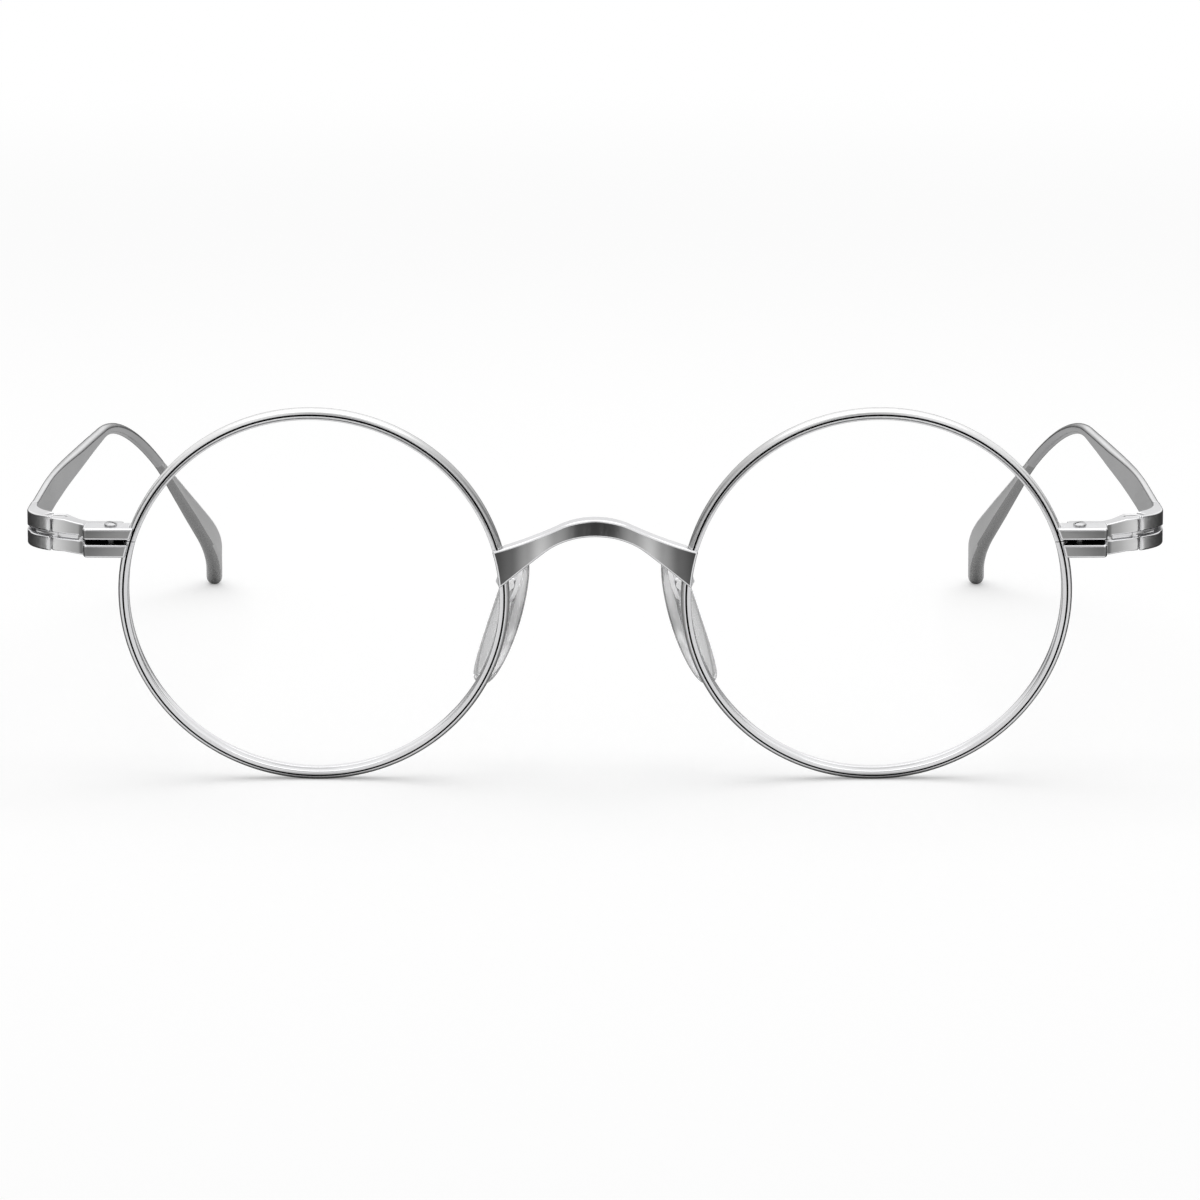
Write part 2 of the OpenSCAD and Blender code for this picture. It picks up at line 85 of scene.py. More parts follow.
def new_material(name):
    mat = bpy.data.materials.new(name)
    mat.use_nodes = True
    return mat, mat.node_tree, mat.node_tree.nodes["Principled BSDF"]


def node_math(nt, kind, a, b):
    m = nt.nodes.new("ShaderNodeMath")
    m.operation = kind
    for i, v in enumerate((a, b)):
        if isinstance(v, (int, float)):
            m.inputs[i].default_value = v
        else:
            nt.links.new(v, m.inputs[i])
    return m.outputs[0]


def in_range(nt, value, start, end, low, high, kind="SMOOTHSTEP"):
    """Low where the value is before the start, high past the end, and a passage between."""
    r = nt.nodes.new("ShaderNodeMapRange")
    r.interpolation_type = kind
    r.inputs["From Min"].default_value = start
    r.inputs["From Max"].default_value = end
    r.inputs["To Min"].default_value = low
    r.inputs["To Max"].default_value = high
    nt.links.new(value, r.inputs["Value"])
    return r.outputs["Result"]


# the Mix node's sockets for two numbers, and for two colours and their mix
MIX_NUMBERS = (2, 3)
MIX_FIRST, MIX_SECOND, MIX_COLOUR = 6, 7, 2


def blend(nt, fac, a, b):
    mix = nt.nodes.new("ShaderNodeMix")
    nt.links.new(fac, mix.inputs["Factor"])
    for i, v in zip(MIX_NUMBERS, (a, b)):
        if isinstance(v, float):
            mix.inputs[i].default_value = v
        else:
            nt.links.new(v, mix.inputs[i])
    return mix.outputs[0]


def split_place(nt, output):
    """A place or direction from the coordinate node: whole, and as its x, y and z."""
    coord = nt.nodes.new("ShaderNodeTexCoord")
    split = nt.nodes.new("ShaderNodeSeparateXYZ")
    nt.links.new(coord.outputs[output], split.inputs["Vector"])
    return coord.outputs[output], split.outputs


def seen_directly(nt, path):
    """One for rays from the camera and through the clear pads, and zero for all others."""
    return node_math(
        nt, "MAXIMUM", path.outputs["Is Camera Ray"], path.outputs["Is Transmission Ray"]
    )


def noise(nt, scale, detail, stretch=(1, 1, 1)):
    coord = nt.nodes.new("ShaderNodeTexCoord")
    mapping = nt.nodes.new("ShaderNodeMapping")
    mapping.inputs["Scale"].default_value = stretch
    tex = nt.nodes.new("ShaderNodeTexNoise")
    tex.inputs["Scale"].default_value = scale
    tex.inputs["Detail"].default_value = detail
    nt.links.new(coord.outputs["Object"], mapping.inputs["Vector"])
    nt.links.new(mapping.outputs["Vector"], tex.inputs["Vector"])
    return tex.outputs["Fac"]


# the part of a noise's range that is spread over numbers, and over tones
NUMBER_SPAN = (0.35, 0.65)
TONE_SPAN = (0.3, 0.7)


def spread(nt, fac, low, high):
    return in_range(nt, fac, *NUMBER_SPAN, low, high, "LINEAR")


def tone(nt, fac, dark, light):
    ramp = nt.nodes.new("ShaderNodeValToRGB")
    for stop, at, colour in zip(ramp.color_ramp.elements, TONE_SPAN, (dark, light)):
        stop.position = at
        stop.color = (*colour, 1)
    nt.links.new(fac, ramp.inputs["Fac"])
    return ramp.outputs["Color"]


# materials of the part

BROAD_GRAIN = 90.0
FINE_GRAIN = 2500.0
GRAIN_DETAIL = 3.0
BUMP_HEIGHT = 0.00002
SATIN_GRAIN = 3000.0
SATIN_STRETCH = (0.25, 1, 1)
SATIN_ROUGH = (0.28, 0.36)
SATIN_BUMP = 0.12


def grained(nt, shader, fine, rough, bump):
    """Roughness and a shallow bump from the same fine noise."""
    nt.links.new(spread(nt, fine, *rough), shader.inputs["Roughness"])
    bumps = nt.nodes.new("ShaderNodeBump")
    bumps.inputs["Strength"].default_value = bump
    bumps.inputs["Distance"].default_value = BUMP_HEIGHT
    nt.links.new(fine, bumps.inputs["Height"])
    nt.links.new(bumps.outputs["Normal"], shader.inputs["Normal"])


def metal(name, dark, light, rough, grain=FINE_GRAIN, bump=0.1, stretch=(1, 1, 1)):
    mat, nt, shader = new_material(name)
    shader.inputs["Metallic"].default_value = 1.0
    broad = noise(nt, BROAD_GRAIN, GRAIN_DETAIL)
    nt.links.new(tone(nt, broad, dark, light), shader.inputs["Base Color"])
    grained(nt, shader, noise(nt, grain, GRAIN_DETAIL, stretch), rough, bump)
    return mat


def satin_with_painted_reflection(name, stops, reach):
    """Satin with painted reflections: its tone is set by the distance from the middle plane, in mm
    up to reach.
    """
    mat, nt, shader = new_material(name)
    shader.inputs["Metallic"].default_value = 1.0
    _, axes = split_place(nt, "Object")
    aside = node_math(nt, "ABSOLUTE", axes["X"], 0)
    ramp = nt.nodes.new("ShaderNodeValToRGB")
    ramp.color_ramp.interpolation = "EASE"
    elements = ramp.color_ramp.elements
    ready = len(elements)
    for k, (at, v) in enumerate(stops):
        stop = elements[k] if k < ready else elements.new(at / reach)
        stop.position = at / reach
        stop.color = (v, v, v, 1)
    place = in_range(nt, aside, 0.0, reach / PER_METRE, 0.0, 1.0, "LINEAR")
    nt.links.new(place, ramp.inputs["Fac"])
    nt.links.new(ramp.outputs["Color"], shader.inputs["Base Color"])
    fine = noise(nt, SATIN_GRAIN, GRAIN_DETAIL, SATIN_STRETCH)
    grained(nt, shader, fine, SATIN_ROUGH, SATIN_BUMP)
    return mat


PAD_CLARITY = 0.72
PAD_IOR = 1.3
PAD_ROUGH = (0.08, 0.13)
PAD_GRAIN = 500.0
PAD_DETAIL = 2.0
PAD_DARK = (0.985, 0.985, 0.99)
PAD_LIGHT = (0.995, 0.995, 1.0)
# painted shade: the pads darken where their surface turns away from the eye, for dark edges
EDGE_SHADE_BLEND = 0.35
EDGE_SHADE_SPAN = (0.62, 0.92)
EDGE_SHADE_TONE = (0.2, 0.2, 0.205, 1)


def clear_material(name, painted_shade_factor):
    mat, nt, shader = new_material(name)
    shader.inputs["Transmission Weight"].default_value = PAD_CLARITY
    shader.inputs["IOR"].default_value = PAD_IOR
    fac = noise(nt, PAD_GRAIN, PAD_DETAIL)
    turned = nt.nodes.new("ShaderNodeLayerWeight")
    turned.inputs["Blend"].default_value = EDGE_SHADE_BLEND
    edge_shade = nt.nodes.new("ShaderNodeMix")
    edge_shade.data_type = "RGBA"
    away = in_range(nt, turned.outputs["Facing"], *EDGE_SHADE_SPAN, 0.0, 1.0)
    nt.links.new(away, edge_shade.inputs["Factor"])
    dark, light = ([v * painted_shade_factor for v in colour] for colour in (PAD_DARK, PAD_LIGHT))
    nt.links.new(tone(nt, fac, dark, light), edge_shade.inputs[MIX_FIRST])
    edge_shade.inputs[MIX_SECOND].default_value = EDGE_SHADE_TONE
    nt.links.new(edge_shade.outputs[MIX_COLOUR], shader.inputs["Base Color"])
    nt.links.new(spread(nt, fac, *PAD_ROUGH), shader.inputs["Roughness"])
    return mat


POLISHED = metal("polished_steel", (0.72, 0.72, 0.73), (0.80, 0.80, 0.81), (0.10, 0.18))
SATIN = metal(
    "satin_steel", (0.62, 0.62, 0.63), (0.70, 0.70, 0.71), SATIN_ROUGH,
    SATIN_GRAIN, SATIN_BUMP, SATIN_STRETCH,
)
# steel darkened as painted shade, so that the screw heads don't shine white
SCREW_SHADED_STEEL = metal("screw_steel_painted_shade", (0.42, 0.42, 0.425), (0.5, 0.5, 0.505), (0.2, 0.3))
# painted light on the tip's inner face, and painted shade on its lower edge
TIP_PAINTED_LIGHT = metal("tip_painted_light", (0.9, 0.9, 0.9), (0.95, 0.95, 0.95), (0.34, 0.42))
TIP_PAINTED_SHADE = metal("tip_painted_shade", (0.52, 0.52, 0.52), (0.58, 0.58, 0.58), (0.24, 0.32), bump=0.06)
PALE = metal("pad_steel", (0.93, 0.93, 0.935), (0.97, 0.97, 0.975), (0.5, 0.6))
# near black, painted shade in the engraved rim line and the closing blocks' slots
PAINTED_SHADE = metal("painted_shade_black", (0.008, 0.008, 0.008), (0.015, 0.015, 0.015), (0.4, 0.5))
# tones that stand for the reflections of the photo's studio, each with its mm from the middle
BRIDGE_PAINTED_REFLECTION = satin_with_painted_reflection("bridge_painted_reflection", (
    (0.0, 0.07), (1.8, 0.1), (4.6, 0.44), (6.6, 0.72), (8.3, 0.42), (10.2, 0.17), (12.3, 0.08),
), 12.6)
# painted reflection on the rims' outer shoulders
RIM_SHOULDER_PAINTED_REFLECTION = satin_with_painted_reflection("rim_shoulder", (
    (11.0, 0.42), (16.0, 0.46), (26.0, 0.78), (58.0, 0.78),
), 60.0)
# painted reflection on the upright faces of the closing blocks, end pieces and temple corners
END_PAINTED_REFLECTION = satin_with_painted_reflection("end_painted_reflection", (
    (56.5, 0.36), (62.3, 0.2), (62.7, 0.42), (66.6, 0.85), (67.4, 0.8), (69.3, 0.3),
), 70.0)
CLEAR = clear_material("clear_pad", 1.0)
# a darker copy of the pad material, painted shade for the dark line along the pads' round edge
CLEAR_PAINTED_EDGE_SHADE = clear_material("clear_pad_painted_edge_shade", 0.4)


# places and outlines

LENS_D, RIM_WALL, FRONT_BAND, DEPTH = 45.1, 1.2, 0.48, 2.2
NOSE_GAP, TILT, WRAP = 20.8, 9.2, 1.2
LIP_R = LENS_D / 2
RIM_R = LIP_R + RIM_WALL
EYE_X = RIM_R + NOSE_GAP / 2
FRONT_R = LIP_R + FRONT_BAND
SHOULDER, SHOULDER_END, BACK_IN = 0.72, 1.15, 0.35
SLOT_V = 6.98
# the lowest point of the leaning rim rests on the floor
RIM_Z = RIM_R * math.sqrt(
    math.cos(math.radians(TILT)) ** 2
    + (math.sin(math.radians(WRAP)) * math.sin(math.radians(TILT))) ** 2
) - SHOULDER * math.cos(math.radians(WRAP)) * math.sin(math.radians(TILT))
# no corner is eased over more than this share of the side next to it
EASE_SHARE = 0.45


def to_row(p, side=1):
    """A place in mm, behind the front of the rims, as metres in the shared frame."""
    return Vector((side * p[0], p[1] + SHIFT_Y, p[2])) / PER_METRE


def turn(p, axis, degrees):
    c, s = math.cos(math.radians(degrees)), math.sin(math.radians(degrees))
    x, y, z = p
    if axis == "x":
        return (x, y * c - z * s, y * s + z * c)
    if axis == "y":
        return (x * c + z * s, y, -x * s + z * c)
    return (x * c - y * s, x * s + y * c, z)


def at_rim(p):
    x, y, z = turn(turn(p, "z", WRAP), "x", TILT)
    return (x + EYE_X, y, z + RIM_Z)


def rounded(points, n=3):
    """Closed outline with each corner (x, y, d) eased over the length d."""
    out = []
    m = len(points)
    for i, (x, y, d) in enumerate(points):
        if d <= 0:
            out.append((x, y))
            continue
        px, py, _ = points[i - 1]
        qx, qy, _ = points[(i + 1) % m]
        lp, lq = math.hypot(px - x, py - y), math.hypot(qx - x, qy - y)
        dp, dq = min(d, lp * EASE_SHARE), min(d, lq * EASE_SHARE)
        a = (x + (px - x) / lp * dp, y + (py - y) / lp * dp)
        b = (x + (qx - x) / lq * dq, y + (qy - y) / lq * dq)
        for k in range(n + 1):
            t = k / n
            out.append((
                (1 - t) ** 2 * a[0] + 2 * t * (1 - t) * x + t * t * b[0],
                (1 - t) ** 2 * a[1] + 2 * t * (1 - t) * y + t * t * b[1],
            ))
    return out


def skin(rings):
    """Faces between equal rings of points, capped at both ends."""
    n, m = len(rings[0]), len(rings)
    verts = [p for ring in rings for p in ring]
    faces = []
    for i in range(m - 1):
        a, b = i * n, (i + 1) * n
        for k in range(n):
            after = (k + 1) % n
            faces.append((a + k, a + after, b + after, b + k))
    faces.append(tuple(range(n - 1, -1, -1)))
    faces.append(tuple((m - 1) * n + k for k in range(n)))
    return verts, faces


# pieces

SMOOTH_ANGLE = 40.0
# points closer than these, in metres, are merged: doubled ones, then those of fine facets
WELD_DOUBLES, WELD_FACETS = 2e-7, 5.5e-5
# faces that meet at less than this are joined, and edges turned by more than the next are rounded
FLAT_ANGLE, SHARP_ANGLE = 0.6, 28.0
EDGE_SEGMENTS = 3
# edges shorter than this belong to screw holes, which stay sharp
HOLE_EDGE = 0.11
FLAT_WEIGHT = 60


def as_piece(name, mesh, mats, node, angle):
    """The mesh as a piece that stands for a node and rides on the node's body."""
    obj = in_scene(name, mesh)
    for mat in mats:
        obj.data.materials.append(mat)
    mesh.polygons.foreach_set("use_smooth", [True] * len(mesh.polygons))
    mesh.set_sharp_from_angle(angle=math.radians(angle))
    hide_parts(node)
    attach(obj, body_of_node(node))
    return obj


def add_piece(name, verts, faces, side, mats, node, slot, angle):
    mesh = bpy.data.meshes.new(name)
    points = [to_row(v, side) for v in verts]
    polys = [tuple(reversed(f)) if side < 0 else tuple(f) for f in faces]
    mesh.from_pydata(points, [], polys)
    mesh.validate()
    bm = bmesh.new()
    bm.from_mesh(mesh)
    bmesh.ops.recalc_face_normals(bm, faces=bm.faces)
    bm.to_mesh(mesh)
    bm.free()
    return as_piece(name, mesh, mats, node, angle)


def softened(node, width, mats, shortest=HOLE_EDGE, keep=None):
    """A node's solid with its sharp edges rounded, in the second material.

    Edges no longer than shortest stay sharp, and so do those where keep is true.
    """
    bm = bmesh.new()
    bm.from_mesh(NODES[node].data)
    bmesh.ops.remove_doubles(bm, verts=bm.verts, dist=WELD_DOUBLES)
    bmesh.ops.dissolve_limit(
        bm, angle_limit=math.radians(FLAT_ANGLE), verts=bm.verts, edges=bm.edges
    )
    bmesh.ops.remove_doubles(bm, verts=bm.verts, dist=WELD_FACETS)
    bmesh.ops.recalc_face_normals(bm, faces=bm.faces)
    edges = [
        e for e in bm.edges
        if len(e.link_faces) == 2 and e.calc_face_angle(0) > math.radians(SHARP_ANGLE)
        and e.calc_length() > shortest / PER_METRE
        and not (keep and all(keep(v.co) for v in e.verts))
    ]
    done = bmesh.ops.bevel(
        bm, geom=edges, offset=width / PER_METRE, offset_type="OFFSET", segments=EDGE_SEGMENTS,
        profile=0.5, affect="EDGES", clamp_overlap=False,
    )
    for f in done["faces"]:
        f.material_index = 1
    mesh = bpy.data.meshes.new(node + "_shape")
    bm.to_mesh(mesh)
    bm.free()
    return as_piece(node + "_shape", mesh, mats, node, SMOOTH_ANGLE)


def crisp(obj):
    """Shade large faces flat, and leave the turn of the surface to the edges."""
    mod = obj.modifiers.new("normals", "WEIGHTED_NORMAL")
    mod.keep_sharp = True
    mod.weight = FLAT_WEIGHT
    return obj


def dress(node, mat):
    obj = NODES[node]
    obj.data.materials.clear()
    obj.data.materials.append(mat)


# rims

# the engraved line is a little wider than in the source, so that it shows
LINE_W, LINE_D = 0.21, 0.22
LINE_R = FRONT_R + LINE_W
LIP_EASE, LINE_EASE, GROOVE_EASE = 0.14, 0.05, 0.06
SHOULDER_LIP, SHOULDER_EASE, SHOULDER_STEP = 0.08, 0.04, 9
BACK_EASE, BACK_MID_EASE = 0.1, 0.2
GROOVE_HALF, GROOVE_DEPTH = 0.35, 0.55
SPLIT = 0.1
RIM_STEPS = 288
# how far into the outer shoulder its painted reflection starts, and how far past its end it runs
TONE_IN, TONE_PAST = 0.12, 0.2
NEARLY = 0.01


def rim_profile():
    """The rim's section as (radius, depth), from the lip over the front to the back."""
    mid = DEPTH / 2
    pts = [
        (LIP_R, 0, LIP_EASE),
        (FRONT_R, 0, LINE_EASE),
        (FRONT_R, LINE_D, 0),
        (LINE_R, LINE_D, 0),
    ]
    for degrees in range(0, 91, SHOULDER_STEP):
        t = math.radians(degrees)
        pts.append((
            LINE_R + (RIM_R - LINE_R) * math.sin(t),
            SHOULDER - (SHOULDER - SHOULDER_LIP) * math.cos(t),
            SHOULDER_EASE if degrees == 0 else 0,
        ))
    pts += [
        (RIM_R, SHOULDER_END, BACK_EASE),
        (RIM_R - BACK_IN / 4, (SHOULDER_END + DEPTH) / 2, BACK_MID_EASE),
        (RIM_R - BACK_IN, DEPTH, BACK_EASE),
        (LIP_R, DEPTH, LIP_EASE),
        (LIP_R, mid + GROOVE_HALF, LINE_EASE),
        (LIP_R + GROOVE_DEPTH, mid, GROOVE_EASE),
        (LIP_R, mid - GROOVE_HALF, LINE_EASE),
    ]
    return rounded(pts)


def rim_mesh():
    """The section swept round the lens, from one side of the split to the other."""
    top, low = SLOT_V + SPLIT / 2, SLOT_V - SPLIT / 2
    rings = []
    for i in range(RIM_STEPS + 1):
        ring = []
        for r, w in rim_profile():
            first = math.asin(top / r)
            last = math.asin(low / r) + 2 * math.pi
            t = first + (last - first) * i / RIM_STEPS
            ring.append(at_rim((r * math.cos(t), w, r * math.sin(t))))
        rings.append(ring)
    return skin(rings)


RIM = rim_mesh()


def paint_rim_shade_and_reflection(obj):
    """Give the engraved line near-black painted shade, and the outer shoulder its painted
    reflection.
    """
    profile = rim_profile()
    outer = [
        i for i, (r, w) in enumerate(profile)
        if r > LINE_R + TONE_IN and w < SHOULDER_END + TONE_PAST
    ]
    marks = [i for i, (r, _) in enumerate(profile) if FRONT_R - NEARLY < r < LINE_R + NEARLY]
    inside = [i for i in marks if i + 1 in marks]
    for f in obj.data.polygons:
        if len(f.vertices) != 4:
            continue
        spots = sorted({v % len(profile) for v in f.vertices})
        if len(spots) == 2 and spots[1] - spots[0] == 1 and spots[0] in inside:
            f.material_index = 1
        elif all(v in outer for v in spots):
            f.material_index = 2


def add_rim(side, sign):
    mats = (POLISHED, PAINTED_SHADE, RIM_SHOULDER_PAINTED_REFLECTION)
    band = crisp(add_piece(
        "rim_band_" + side, *RIM, sign, mats, "rim_" + side, "polished_steel", angle=40
    ))
    paint_rim_shade_and_reflection(band)


# end pieces and closing blocks

CORNER_Y = 8.95
GROOVE_RISE = 0.55
GROOVE_Z = RIM_Z + SLOT_V * math.cos(math.radians(TILT)) + GROOVE_RISE
# half the heights within which faces belong to the slot, the groove and the slot's point
SLOT_REACH, GROOVE_REACH, POINT_REACH = 0.31, 0.52, 0.45
POINT_LEN = 2.9
# the most that the normal of an upright face points up or down
UPRIGHT = 0.5
# widths of the softened edges
EDGE_WIDTHS = {
    "upper_closing_block_": 0.26,
    "lower_closing_block_": 0.26,
    "end_piece_": 0.15,
    "temple_corner_": 0.2,
}


def slot_point(p):
    """Whether a place lies in the pointed part of the corner's slot."""
    level = abs(p.z * PER_METRE - GROOVE_Z) < POINT_REACH
    return level and p.y * PER_METRE - SHIFT_Y > CORNER_Y - POINT_LEN


def paint_end_reflection_and_shade(obj, sign, slotted, grooved):
    """Give upright faces the painted reflection, the slot near-black painted shade and the groove
    the edges' material.
    """
    base = to_row(at_rim((0, 0, SLOT_V)), sign)
    up = (to_row(at_rim((0, 0, SLOT_V + 1)), sign) - base).normalized()
    for f in obj.data.polygons:
        spots = [obj.data.vertices[v].co for v in f.vertices]
        if grooved and all(abs(p.z * PER_METRE - GROOVE_Z) < GROOVE_REACH for p in spots):
            f.material_index = 1
        elif slotted and all(abs((p - base).dot(up)) < SLOT_REACH / PER_METRE for p in spots):
            f.material_index = 3
        elif f.material_index == 0 and abs(f.normal.z) < UPRIGHT:
            f.material_index = 2


def add_end(side, sign):
    mats = (SATIN, POLISHED, END_PAINTED_REFLECTION, PAINTED_SHADE)
    for name, width in EDGE_WIDTHS.items():
        corner = name == "temple_corner_"
        keep = slot_point if corner else None
        block = crisp(softened(name + side, width, mats, keep=keep))
        paint_end_reflection_and_shade(block, sign, not corner, name == "end_piece_")
    for name in ("hinge_screw_", "upper_washer_", "lower_washer_"):
        dress(name + side, POLISHED)
    dress("closing_screw_" + side, SCREW_SHADED_STEEL)


# temples

HALF_WIDTH = 69.5
BLADE_H, BLADE_T, ROD_D, TIP_H, TIP_T = 4.25, 0.9, 1.45, 5.2, 2.3
# the run's length, counted from the corner: where the blade starts, bends and must have ended
BLADE_START, BEND_START, RUN_LIMIT = 4.45, 72.6, 170
BLADE_LIFT = 0.05
DROP = 35.0
YAW_BLADE, YAW_EAR, YAW_TIP = 3.2, 17.3, -4.1
TOE_S, TOE_LEN, RISE_LEN, ROD_RISE = 15, 30, 47, 0.35
TAPER_S, TAPER_LEN, TAPER_EASE, TAPER_POWER = 26, 52, 0.15, 1.15
ROUND_LEN, BLADE_ROUND = 25, 0.75
YAW_LEN, YAW_HOLD, DROP_LEN, BACK_LEN = 42.1, 14, 40.2, 10.6
PADDLE_LEN, PADDLE_END, THICK_LEN, HEIGHT_LAG = 30, 4.3, 16, 3
RUN_STEP, STEPS_PER_RING, QUARTER_POINTS = 0.25, 4, 8
# the rounded end of the tip, by degrees, and the share of its thickness left at the very end
CAP_DEGREES, CAP_THIN = (*range(8, 81, 8), 86), 0.35
# the tip's faces with painted light and shade lie behind this y of the shared frame, and their
# normals point inward or down
TIP_FROM, FACET_ASIDE, FACET_DOWN = 44.0, 0.75, 0.2


def ramp(x):
    return max(0.0, min(1.0, x))


def eased(x, w):
    """A ramp that sets in and ends smoothly, within w of its ends."""
    def soft(v):
        if v < -w:
            return 0.0
        return v if v > w else (v + w) ** 2 / (4 * w)
    return soft(x) - soft(x - 1)


def yaw_at(s):
    return (
        YAW_BLADE * ramp((s - TOE_S) / TOE_LEN)
        + (YAW_EAR - YAW_BLADE) * ramp((s - BEND_START) / YAW_LEN)
        - (YAW_EAR - YAW_TIP) * ramp((s - BEND_START - YAW_LEN - YAW_HOLD) / BACK_LEN)
    )


def pitch_at(s):
    return DROP * ramp((s - BEND_START) / DROP_LEN)


def heading(s):
    a, b = math.radians(yaw_at(s)), math.radians(pitch_at(s))
    return Vector((-math.sin(a) * math.cos(b), math.cos(a) * math.cos(b), -math.sin(b)))


def temple_run():
    """The temple's middle line: its length so far, and the place there, until the tip rests."""
    p = Vector((HALF_WIDTH - BLADE_T / 2, CORNER_Y, GROOVE_Z + BLADE_LIFT))
    s, run = 0.0, []
    while True:
        here = p + Vector((0, 0, ROD_RISE * ramp((s - TOE_S) / RISE_LEN)))
        if s >= BLADE_START:
            run.append((s, here))
        if here.z <= TIP_H / 2 or s > RUN_LIMIT:
            return run
        p = p + RUN_STEP * heading(s + RUN_STEP / 2)
        s += RUN_STEP


def temple_section(s, p, t, h):
    """A rounded oblong, t thick and h high, square to the run."""
    r = min(t, h) / 2 * (BLADE_ROUND + (1 - BLADE_ROUND) * ramp((s - TAPER_S) / RISE_LEN))
    a, b = math.radians(yaw_at(s)), math.radians(pitch_at(s))
    across = Vector((math.cos(a), math.sin(a), 0))
    up = Vector((-math.sin(a) * math.sin(b), math.cos(a) * math.sin(b), math.cos(b)))
    ring = []
    for q in range(4):
        cx = (1 if q in (0, 3) else -1) * (t / 2 - r)
        cy = (1 if q < 2 else -1) * (h / 2 - r)
        for k in range(QUARTER_POINTS):
            m = math.radians(q * 90 + 90 * (k + 0.5) / QUARTER_POINTS)
            ring.append(tuple(p + (cx + r * math.cos(m)) * across + (cy + r * math.sin(m)) * up))
    return ring


def temple_mesh():
    run = temple_run()
    tip_s, tip_end = run[-1]
    paddle_s = tip_s - PADDLE_LEN - PADDLE_END
    kept = run[::STEPS_PER_RING]
    if kept[-1] is not run[-1]:
        kept.append(run[-1])
    rings = []
    for s, here in kept:
        taper = 1 - eased((s - TAPER_S) / TAPER_LEN, TAPER_EASE)
        h = (
            ROD_D + (BLADE_H - ROD_D) * taper ** TAPER_POWER
            + (TIP_H - ROD_D) * ramp((s - paddle_s - HEIGHT_LAG) / PADDLE_LEN)
        )
        t = (
            BLADE_T + (ROD_D - BLADE_T) * ramp((s - TAPER_S) / ROUND_LEN)
            + (TIP_T - ROD_D) * ramp((s - paddle_s) / THICK_LEN)
        )
        rings.append(temple_section(s, here, t, h))
    for degrees in CAP_DEGREES:
        f = math.cos(math.radians(degrees))
        at = tip_end + TIP_H / 2 * math.sin(math.radians(degrees)) * heading(tip_s)
        rings.append(temple_section(tip_s, at, TIP_T * (CAP_THIN + (1 - CAP_THIN) * f), TIP_H * f))
    return skin(rings)


TEMPLE = temple_mesh()


def paint_tip_light_and_shade(obj, sign):
    """Paint light on the tip's inner face, and painted shade on its lower edge."""
    for f in obj.data.polygons:
        if f.center.y > TIP_FROM / PER_METRE:
            if f.normal.x * sign < -FACET_ASIDE:
                f.material_index = 1
            elif f.normal.z < -FACET_DOWN and abs(f.normal.x) < FACET_ASIDE:
                f.material_index = 2


def add_temple(side, sign):
    mats = (POLISHED, TIP_PAINTED_LIGHT, TIP_PAINTED_SHADE)
    run = crisp(add_piece(
        "temple_run_" + side, *TEMPLE, sign, mats, "temple_" + side, "polished_steel", angle=50
    ))
    paint_tip_light_and_shade(run, sign)


# nose pads

# a little thinner than in the source and further from the box, so that the pads rock freely
PAD_LEN, PAD_W, PAD_T = 17.5, 8.0, 1.85
PAD_FACE = -0.8
PAD_LEAN, PAD_SPLAY, PAD_BACK = 17, 13, 8
PAD_AT = (10.7, 6.2, RIM_Z + 0.96)
PAD_SHIFT, PAD_UP, PAD_BOW, PAD_CANT, PAD_INSET = 2.2, 3.1, 0.48, 0.15, 0.1
PAD_EDGE = 0.75
# rings from one face of the pad round its edge to the other, by degrees
PAD_RINGS = (-88, -80, -72, -62, -50, -36, -22, -8, 8, 22, 36, 50, 62, 72, 80, 88)
PAD_POINTS = 72
# the band of the round edge, by degrees, that gets the painted shade
PAINTED_EDGE_SHADE_SPAN = (35, 62)


def at_pad(p):
    x, y, z = turn(turn(turn(p, "z", -PAD_SPLAY), "y", -PAD_LEAN), "x", PAD_BACK)
    return (x + PAD_AT[0], y + PAD_AT[1], z + PAD_AT[2])


def pad_mesh():
    """A bowed oval cushion with a full round edge."""
    mid = PAD_FACE - PAD_T / 2
    pole = math.sin(math.radians(PAD_RINGS[-1]))
    rings = []
    for degrees in PAD_RINGS:
        x = mid + PAD_T / 2 * math.sin(math.radians(degrees)) / pole
        inward = PAD_EDGE * (1 - math.cos(math.radians(degrees)))
        ring = []
        for k in range(PAD_POINTS):
            a = 2 * math.pi * k / PAD_POINTS
            t = math.sin(a)
            ring.append(at_pad((
                x + PAD_BOW * t * t - PAD_CANT * t - PAD_INSET,
                PAD_SHIFT + (PAD_W / 2 - inward) * math.cos(a),
                PAD_UP - PAD_LEN / 2 + (PAD_LEN / 2 - inward) * t,
            )))
        rings.append(ring)
    return skin(rings)


PAD = pad_mesh()


def add_pad(side, sign):
    mats = (CLEAR, CLEAR_PAINTED_EDGE_SHADE)
    pad = add_piece(
        "pad_soft_" + side, *PAD, sign, mats, "nose_pad_" + side, "clear_pad", angle=60
    )
    low, high = PAINTED_EDGE_SHADE_SPAN
    for f in pad.data.polygons:
        rows = {v // PAD_POINTS for v in f.vertices}
        if len(rows) == 2 and low <= min(abs(PAD_RINGS[k]) for k in rows) <= high:
            f.material_index = 1


def dress_pad_mount(side):
    for name in ("pad_arm_", "pad_box_", "pad_screw_", "pad_core_"):
        dress(name + side, PALE)


# bridge

BRIDGE_EDGE, BRIDGE_SHORTEST = 0.26, 0.05
# faces whose normals point forward by more than this get the bridge's painted reflection
BRIDGE_FRONT = 0.8


